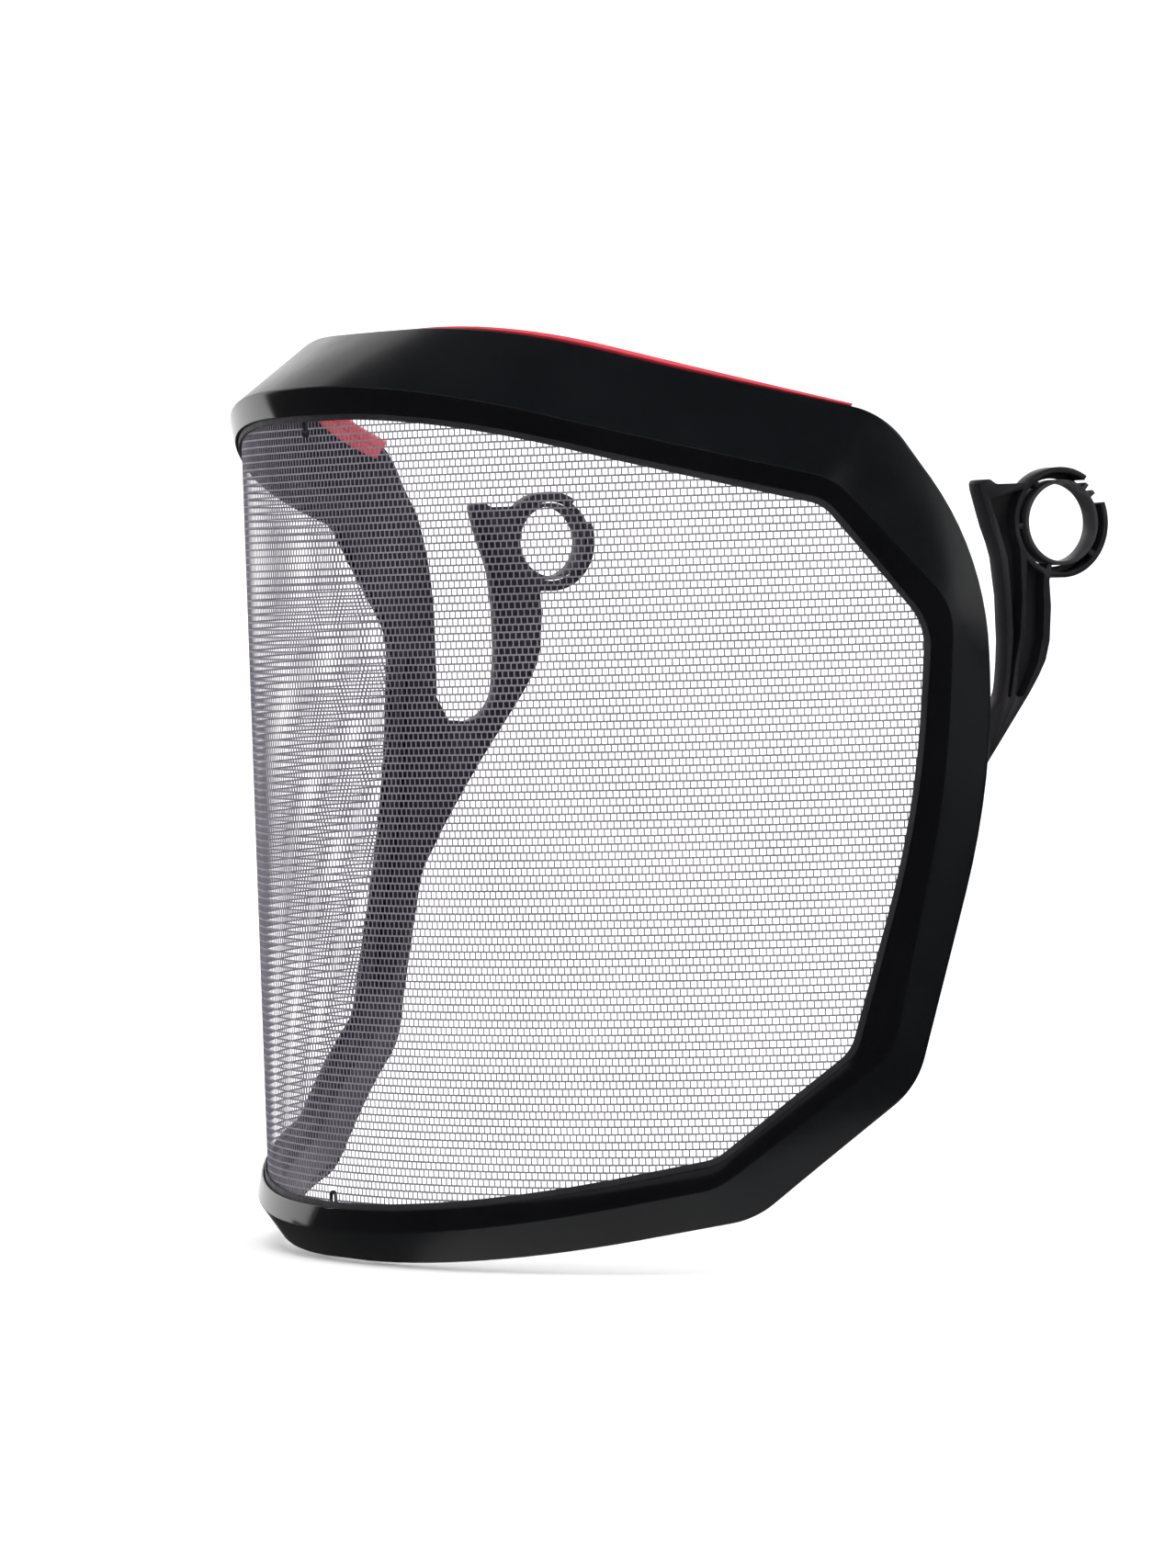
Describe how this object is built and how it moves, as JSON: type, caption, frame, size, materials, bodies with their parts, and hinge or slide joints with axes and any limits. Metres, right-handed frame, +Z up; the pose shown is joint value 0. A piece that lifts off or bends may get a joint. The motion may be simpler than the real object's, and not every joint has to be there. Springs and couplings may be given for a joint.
{
  "type": "mesh face visor",
  "caption": "Curved mesh face visor for a work helmet: mesh screen held in a black frame, red brow seal, and two arms with turning pivot bushes.",
  "frame": {"origin": "middle of the pivot axis, halfway between the two pivot eyes", "axes": "+X to the wearer's left along the pivot axis, -Y to the front of the mesh, +Z up along the mesh cylinder's straight lines"},
  "size_m": [0.2338, 0.1264, 0.189],
  "materials": {
    "bezel": "satin black",
    "carrier": "matt black",
    "mesh": "grey etched sheet",
    "gasket": "dark purple-grey",
    "seal": "red",
    "arm": "matt black",
    "bush": "satin black",
    "screw": "zinc plated"
  },
  "bodies": {
    "visor": {"outer_bezel": "bezel", "carrier_frame": "carrier", "mesh_screen": "mesh", "mesh_gasket": "gasket", "brow_seal": "seal", "arm_left": "arm", "arm_right": "arm", "arm_screw_left_upper": "screw", "arm_screw_left_lower": "screw", "arm_screw_right_upper": "screw", "arm_screw_right_lower": "screw"},
    "left_bush": {"pivot_bush_left": "bush"},
    "right_bush": {"pivot_bush_right": "bush"}
  },
  "joints": [
    {"name": "left_bush_turn", "type": "hinge", "parent": "visor", "child": "left_bush", "pos_m": [0.1045, 0, 0], "axis": [1, 0, 0], "range_deg": [0, 66]},
    {"name": "right_bush_turn", "type": "hinge", "parent": "visor", "child": "right_bush", "pos_m": [-0.1045, 0, 0], "axis": [1, 0, 0], "range_deg": [0, 66]}
  ]
}
